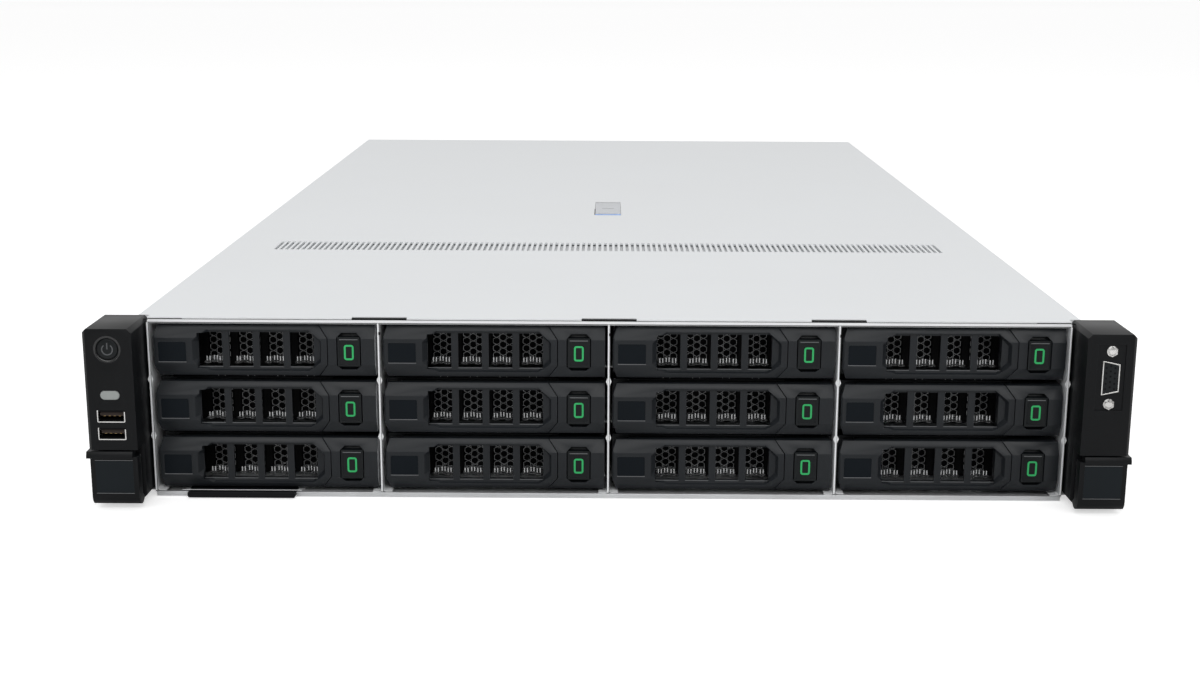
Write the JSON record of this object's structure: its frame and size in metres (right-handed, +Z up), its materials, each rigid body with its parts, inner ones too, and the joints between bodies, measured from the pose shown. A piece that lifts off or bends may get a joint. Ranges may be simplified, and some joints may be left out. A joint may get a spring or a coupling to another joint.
{
  "type": "2u rack server",
  "caption": "Flat rack server with hot-swap drive carriers across its front, rack ears with controls and latches, a vented lift-off cover, fans, board and plug-in power supplies.",
  "frame": {"origin": "on the underside of the chassis, centred left to right, in the plane where the rack ears meet the rack posts", "axes": "+X to the server's right seen from the front, +Y to the rear, +Z up"},
  "size_m": [0.485, 0.8308, 0.087],
  "materials": {
    "zinc_steel": "satin zinc-coated sheet",
    "carrier_plastic": "satin moulded",
    "black_plastic": "satin moulded",
    "grey_lens": "frosted lens",
    "pale_plastic": "satin",
    "bright_metal": "plated",
    "psu_metal": "satin",
    "circuit_board": "solder mask"
  },
  "bodies": {
    "chassis": {"chassis_base": "zinc_steel", "drive_cage": "zinc_steel", "left_ear": "black_plastic", "right_ear": "black_plastic", "front_ports": "bright_metal", "rack_screws": "bright_metal", "backplane": "circuit_board", "fan_wall": "black_plastic", "motherboard": "circuit_board", "air_shroud": "black_plastic", "rear_panel": "zinc_steel"},
    "carrier_r1c1": {"carrier_r1c1": "carrier_plastic"},
    "lever_r1c1": {"lever_r1c1": "black_plastic"},
    "release_r1c1": {"release_r1c1": "black_plastic"},
    "carrier_r1c2": {"carrier_r1c2": "carrier_plastic"},
    "lever_r1c2": {"lever_r1c2": "black_plastic"},
    "release_r1c2": {"release_r1c2": "black_plastic"},
    "carrier_r1c3": {"carrier_r1c3": "carrier_plastic"},
    "lever_r1c3": {"lever_r1c3": "black_plastic"},
    "release_r1c3": {"release_r1c3": "black_plastic"},
    "carrier_r1c4": {"carrier_r1c4": "carrier_plastic"},
    "lever_r1c4": {"lever_r1c4": "black_plastic"},
    "release_r1c4": {"release_r1c4": "black_plastic"},
    "carrier_r2c1": {"carrier_r2c1": "carrier_plastic"},
    "lever_r2c1": {"lever_r2c1": "black_plastic"},
    "release_r2c1": {"release_r2c1": "black_plastic"},
    "carrier_r2c2": {"carrier_r2c2": "carrier_plastic"},
    "lever_r2c2": {"lever_r2c2": "black_plastic"},
    "release_r2c2": {"release_r2c2": "black_plastic"},
    "carrier_r2c3": {"carrier_r2c3": "carrier_plastic"},
    "lever_r2c3": {"lever_r2c3": "black_plastic"},
    "release_r2c3": {"release_r2c3": "black_plastic"},
    "carrier_r2c4": {"carrier_r2c4": "carrier_plastic"},
    "lever_r2c4": {"lever_r2c4": "black_plastic"},
    "release_r2c4": {"release_r2c4": "black_plastic"},
    "carrier_r3c1": {"carrier_r3c1": "carrier_plastic"},
    "lever_r3c1": {"lever_r3c1": "black_plastic"},
    "release_r3c1": {"release_r3c1": "black_plastic"},
    "carrier_r3c2": {"carrier_r3c2": "carrier_plastic"},
    "lever_r3c2": {"lever_r3c2": "black_plastic"},
    "release_r3c2": {"release_r3c2": "black_plastic"},
    "carrier_r3c3": {"carrier_r3c3": "carrier_plastic"},
    "lever_r3c3": {"lever_r3c3": "black_plastic"},
    "release_r3c3": {"release_r3c3": "black_plastic"},
    "carrier_r3c4": {"carrier_r3c4": "carrier_plastic"},
    "lever_r3c4": {"lever_r3c4": "black_plastic"},
    "release_r3c4": {"release_r3c4": "black_plastic"},
    "power_button": {"power_button": "black_plastic"},
    "status_button": {"status_button": "grey_lens"},
    "left_latch": {"left_latch": "black_plastic"},
    "right_latch": {"right_latch": "black_plastic"},
    "info_tag": {"info_tag": "black_plastic"},
    "top_cover": {"top_cover": "zinc_steel"},
    "cover_latch": {"cover_latch": "pale_plastic"},
    "impeller_1": {"impeller_1": "black_plastic"},
    "impeller_2": {"impeller_2": "black_plastic"},
    "impeller_3": {"impeller_3": "black_plastic"},
    "impeller_4": {"impeller_4": "black_plastic"},
    "power_supply_1": {"power_supply_1": "psu_metal"},
    "power_supply_2": {"power_supply_2": "psu_metal"}
  },
  "joints": [
    {"name": "carrier_slide_r1c1", "type": "slide", "parent": "chassis", "child": "carrier_r1c1", "axis": [0, -1, 0], "range_m": [0, 0.17]},
    {"name": "lever_swing_r1c1", "type": "hinge", "parent": "carrier_r1c1", "child": "lever_r1c1", "pos_m": [-0.21109, -0.005, 0.0716], "axis": [0, 0, -1], "range_deg": [0, 50]},
    {"name": "release_press_r1c1", "type": "slide", "parent": "carrier_r1c1", "child": "release_r1c1", "axis": [0, 1, 0], "range_m": [0, 0.0016], "stiffness_N_per_m": 600, "springref_m": -0.001},
    {"name": "carrier_slide_r1c2", "type": "slide", "parent": "chassis", "child": "carrier_r1c2", "axis": [0, -1, 0], "range_m": [0, 0.17]},
    {"name": "lever_swing_r1c2", "type": "hinge", "parent": "carrier_r1c2", "child": "lever_r1c2", "pos_m": [-0.10263, -0.005, 0.0716], "axis": [0, 0, -1], "range_deg": [0, 50]},
    {"name": "release_press_r1c2", "type": "slide", "parent": "carrier_r1c2", "child": "release_r1c2", "axis": [0, 1, 0], "range_m": [0, 0.0016], "stiffness_N_per_m": 600, "springref_m": -0.001},
    {"name": "carrier_slide_r1c3", "type": "slide", "parent": "chassis", "child": "carrier_r1c3", "axis": [0, -1, 0], "range_m": [0, 0.17]},
    {"name": "lever_swing_r1c3", "type": "hinge", "parent": "carrier_r1c3", "child": "lever_r1c3", "pos_m": [0.00583, -0.005, 0.0716], "axis": [0, 0, -1], "range_deg": [0, 50]},
    {"name": "release_press_r1c3", "type": "slide", "parent": "carrier_r1c3", "child": "release_r1c3", "axis": [0, 1, 0], "range_m": [0, 0.0016], "stiffness_N_per_m": 600, "springref_m": -0.001},
    {"name": "carrier_slide_r1c4", "type": "slide", "parent": "chassis", "child": "carrier_r1c4", "axis": [0, -1, 0], "range_m": [0, 0.17]},
    {"name": "lever_swing_r1c4", "type": "hinge", "parent": "carrier_r1c4", "child": "lever_r1c4", "pos_m": [0.11429, -0.005, 0.0716], "axis": [0, 0, -1], "range_deg": [0, 50]},
    {"name": "release_press_r1c4", "type": "slide", "parent": "carrier_r1c4", "child": "release_r1c4", "axis": [0, 1, 0], "range_m": [0, 0.0016], "stiffness_N_per_m": 600, "springref_m": -0.001},
    {"name": "carrier_slide_r2c1", "type": "slide", "parent": "chassis", "child": "carrier_r2c1", "axis": [0, -1, 0], "range_m": [0, 0.17]},
    {"name": "lever_swing_r2c1", "type": "hinge", "parent": "carrier_r2c1", "child": "lever_r2c1", "pos_m": [-0.21109, -0.005, 0.04395], "axis": [0, 0, -1], "range_deg": [0, 50]},
    {"name": "release_press_r2c1", "type": "slide", "parent": "carrier_r2c1", "child": "release_r2c1", "axis": [0, 1, 0], "range_m": [0, 0.0016], "stiffness_N_per_m": 600, "springref_m": -0.001},
    {"name": "carrier_slide_r2c2", "type": "slide", "parent": "chassis", "child": "carrier_r2c2", "axis": [0, -1, 0], "range_m": [0, 0.17]},
    {"name": "lever_swing_r2c2", "type": "hinge", "parent": "carrier_r2c2", "child": "lever_r2c2", "pos_m": [-0.10263, -0.005, 0.04395], "axis": [0, 0, -1], "range_deg": [0, 50]},
    {"name": "release_press_r2c2", "type": "slide", "parent": "carrier_r2c2", "child": "release_r2c2", "axis": [0, 1, 0], "range_m": [0, 0.0016], "stiffness_N_per_m": 600, "springref_m": -0.001},
    {"name": "carrier_slide_r2c3", "type": "slide", "parent": "chassis", "child": "carrier_r2c3", "axis": [0, -1, 0], "range_m": [0, 0.17]},
    {"name": "lever_swing_r2c3", "type": "hinge", "parent": "carrier_r2c3", "child": "lever_r2c3", "pos_m": [0.00583, -0.005, 0.04395], "axis": [0, 0, -1], "range_deg": [0, 50]},
    {"name": "release_press_r2c3", "type": "slide", "parent": "carrier_r2c3", "child": "release_r2c3", "axis": [0, 1, 0], "range_m": [0, 0.0016], "stiffness_N_per_m": 600, "springref_m": -0.001},
    {"name": "carrier_slide_r2c4", "type": "slide", "parent": "chassis", "child": "carrier_r2c4", "axis": [0, -1, 0], "range_m": [0, 0.17]},
    {"name": "lever_swing_r2c4", "type": "hinge", "parent": "carrier_r2c4", "child": "lever_r2c4", "pos_m": [0.11429, -0.005, 0.04395], "axis": [0, 0, -1], "range_deg": [0, 50]},
    {"name": "release_press_r2c4", "type": "slide", "parent": "carrier_r2c4", "child": "release_r2c4", "axis": [0, 1, 0], "range_m": [0, 0.0016], "stiffness_N_per_m": 600, "springref_m": -0.001},
    {"name": "carrier_slide_r3c1", "type": "slide", "parent": "chassis", "child": "carrier_r3c1", "axis": [0, -1, 0], "range_m": [0, 0.17]},
    {"name": "lever_swing_r3c1", "type": "hinge", "parent": "carrier_r3c1", "child": "lever_r3c1", "pos_m": [-0.21109, -0.005, 0.0163], "axis": [0, 0, -1], "range_deg": [0, 50]},
    {"name": "release_press_r3c1", "type": "slide", "parent": "carrier_r3c1", "child": "release_r3c1", "axis": [0, 1, 0], "range_m": [0, 0.0016], "stiffness_N_per_m": 600, "springref_m": -0.001},
    {"name": "carrier_slide_r3c2", "type": "slide", "parent": "chassis", "child": "carrier_r3c2", "axis": [0, -1, 0], "range_m": [0, 0.17]},
    {"name": "lever_swing_r3c2", "type": "hinge", "parent": "carrier_r3c2", "child": "lever_r3c2", "pos_m": [-0.10263, -0.005, 0.0163], "axis": [0, 0, -1], "range_deg": [0, 50]},
    {"name": "release_press_r3c2", "type": "slide", "parent": "carrier_r3c2", "child": "release_r3c2", "axis": [0, 1, 0], "range_m": [0, 0.0016], "stiffness_N_per_m": 600, "springref_m": -0.001},
    {"name": "carrier_slide_r3c3", "type": "slide", "parent": "chassis", "child": "carrier_r3c3", "axis": [0, -1, 0], "range_m": [0, 0.17]},
    {"name": "lever_swing_r3c3", "type": "hinge", "parent": "carrier_r3c3", "child": "lever_r3c3", "pos_m": [0.00583, -0.005, 0.0163], "axis": [0, 0, -1], "range_deg": [0, 50]},
    {"name": "release_press_r3c3", "type": "slide", "parent": "carrier_r3c3", "child": "release_r3c3", "axis": [0, 1, 0], "range_m": [0, 0.0016], "stiffness_N_per_m": 600, "springref_m": -0.001},
    {"name": "carrier_slide_r3c4", "type": "slide", "parent": "chassis", "child": "carrier_r3c4", "axis": [0, -1, 0], "range_m": [0, 0.17]},
    {"name": "lever_swing_r3c4", "type": "hinge", "parent": "carrier_r3c4", "child": "lever_r3c4", "pos_m": [0.11429, -0.005, 0.0163], "axis": [0, 0, -1], "range_deg": [0, 50]},
    {"name": "release_press_r3c4", "type": "slide", "parent": "carrier_r3c4", "child": "release_r3c4", "axis": [0, 1, 0], "range_m": [0, 0.0016], "stiffness_N_per_m": 600, "springref_m": -0.001},
    {"name": "power_press", "type": "slide", "parent": "chassis", "child": "power_button", "axis": [0, 1, 0], "range_m": [0, 0.0012], "stiffness_N_per_m": 600, "springref_m": -0.001},
    {"name": "status_press", "type": "slide", "parent": "chassis", "child": "status_button", "axis": [0, 1, 0], "range_m": [0, 0.0008], "stiffness_N_per_m": 600, "springref_m": -0.001},
    {"name": "left_latch_flip", "type": "hinge", "parent": "chassis", "child": "left_latch", "pos_m": [-0.2299, -0.0263, 0.0068], "axis": [1, 0, 0], "range_deg": [0, 60]},
    {"name": "right_latch_flip", "type": "hinge", "parent": "chassis", "child": "right_latch", "pos_m": [0.2299, -0.0263, 0.0068], "axis": [1, 0, 0], "range_deg": [0, 60]},
    {"name": "info_tag_slide", "type": "slide", "parent": "chassis", "child": "info_tag", "axis": [0, -1, 0], "range_m": [0, 0.095]},
    {"name": "cover_lift", "type": "slide", "parent": "chassis", "child": "top_cover", "axis": [0, 0, 1], "range_m": [0, 0.12]},
    {"name": "cover_latch_flip", "type": "hinge", "parent": "top_cover", "child": "cover_latch", "pos_m": [-0.0005, 0.374, 0.084], "axis": [-1, 0, 0], "range_deg": [0, 70]},
    {"name": "impeller_1_spin", "type": "hinge", "parent": "chassis", "child": "impeller_1", "pos_m": [-0.15, 0.231, 0.0415], "axis": [0, 1, 0], "continuous": true},
    {"name": "impeller_2_spin", "type": "hinge", "parent": "chassis", "child": "impeller_2", "pos_m": [-0.05, 0.231, 0.0415], "axis": [0, 1, 0], "continuous": true},
    {"name": "impeller_3_spin", "type": "hinge", "parent": "chassis", "child": "impeller_3", "pos_m": [0.05, 0.231, 0.0415], "axis": [0, 1, 0], "continuous": true},
    {"name": "impeller_4_spin", "type": "hinge", "parent": "chassis", "child": "impeller_4", "pos_m": [0.15, 0.231, 0.0415], "axis": [0, 1, 0], "continuous": true},
    {"name": "power_supply_1_slide", "type": "slide", "parent": "chassis", "child": "power_supply_1", "axis": [0, 1, 0], "range_m": [0, 0.18]},
    {"name": "power_supply_2_slide", "type": "slide", "parent": "chassis", "child": "power_supply_2", "axis": [0, 1, 0], "range_m": [0, 0.18]}
  ]
}
